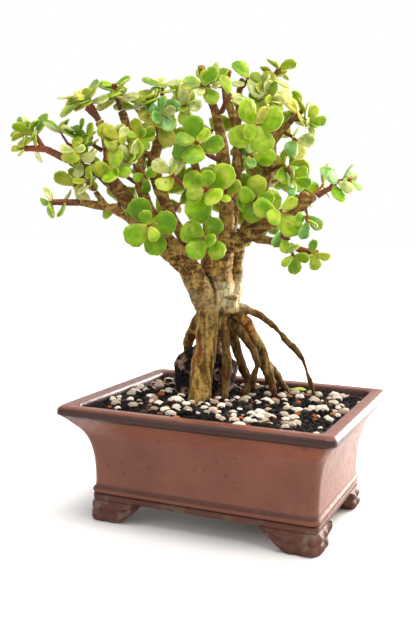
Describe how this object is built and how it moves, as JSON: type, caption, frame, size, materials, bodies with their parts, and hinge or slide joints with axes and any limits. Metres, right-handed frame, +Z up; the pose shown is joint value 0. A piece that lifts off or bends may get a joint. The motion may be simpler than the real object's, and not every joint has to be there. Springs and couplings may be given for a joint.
{
  "type": "elephant bush bonsai in a pot",
  "caption": "Old elephant bush bonsai whose roots clasp a dark stone, in a flared rectangular glazed pot on bracket feet.",
  "frame": {"origin": "on the ground under the middle of the whole plant and pot, at the height of the feet's flat bottoms", "axes": "+X to the right along the pot's long side, +Y away from the viewer across the pot, +Z up"},
  "size_m": [0.2661, 0.1682, 0.3398],
  "materials": {
    "glaze": "reddish-brown glossy glaze, worn grey-green at its edges",
    "mesh": "black plastic mesh",
    "soil": "black grit with pale pumice and orange fired-clay granules",
    "rock": "dark porous volcanic stone",
    "bark": "wrinkled brown bark, greyer and greener on the roots",
    "leaf": null
  },
  "bodies": {
    "root": {"drain_screen_left": "mesh", "drain_screen_right": "mesh", "fallen_leaf": "leaf", "pot": "glaze", "rock": "rock", "soil": "soil", "spray_back_centre_high": "leaf", "spray_back_centre_low": "leaf", "spray_back_far_right": "leaf", "spray_back_left": "leaf", "spray_back_left_end": "leaf", "spray_back_low_left": "leaf", "spray_back_right": "leaf", "spray_back_right_high": "leaf", "spray_back_right_low": "leaf", "spray_back_top": "leaf", "spray_back_upper_left": "leaf", "spray_centre_left_rosette": "leaf", "spray_coral_centre": "leaf", "spray_coral_tip": "leaf", "spray_fork_stub": "leaf", "spray_front_rosette_high": "leaf", "spray_front_rosette_low": "leaf", "spray_front_rosette_mid": "leaf", "spray_front_rosette_right": "leaf", "spray_front_rosette_upper": "leaf", "spray_hanging_pair": "leaf", "spray_left_fork": "leaf", "spray_left_front_rosette": "leaf", "spray_left_rosette": "leaf", "spray_left_tip": "leaf", "spray_left_under": "leaf", "spray_left_up": "leaf", "spray_limb_rosette": "leaf", "spray_limb_stub": "leaf", "spray_limb_top": "leaf", "spray_low_left_tip": "leaf", "spray_low_right": "leaf", "spray_pink_node": "leaf", "spray_right_inner": "leaf", "spray_right_leaves": "leaf", "spray_right_mid": "leaf", "spray_right_spray": "leaf", "spray_right_tip": "leaf", "spray_tall_right_side": "leaf", "spray_tall_right_tip": "leaf", "spray_tall_stub": "leaf", "spray_thin_limb_tip": "leaf", "spray_top_centre": "leaf", "spray_top_left": "leaf", "spray_top_mid": "leaf", "spray_top_mid_low": "leaf", "spray_top_stub": "leaf", "spray_under_left": "leaf", "spray_upper_cluster": "leaf", "spray_upper_cluster_side": "leaf", "spray_upper_left": "leaf", "trunk": "bark"}
  },
  "joints": []
}
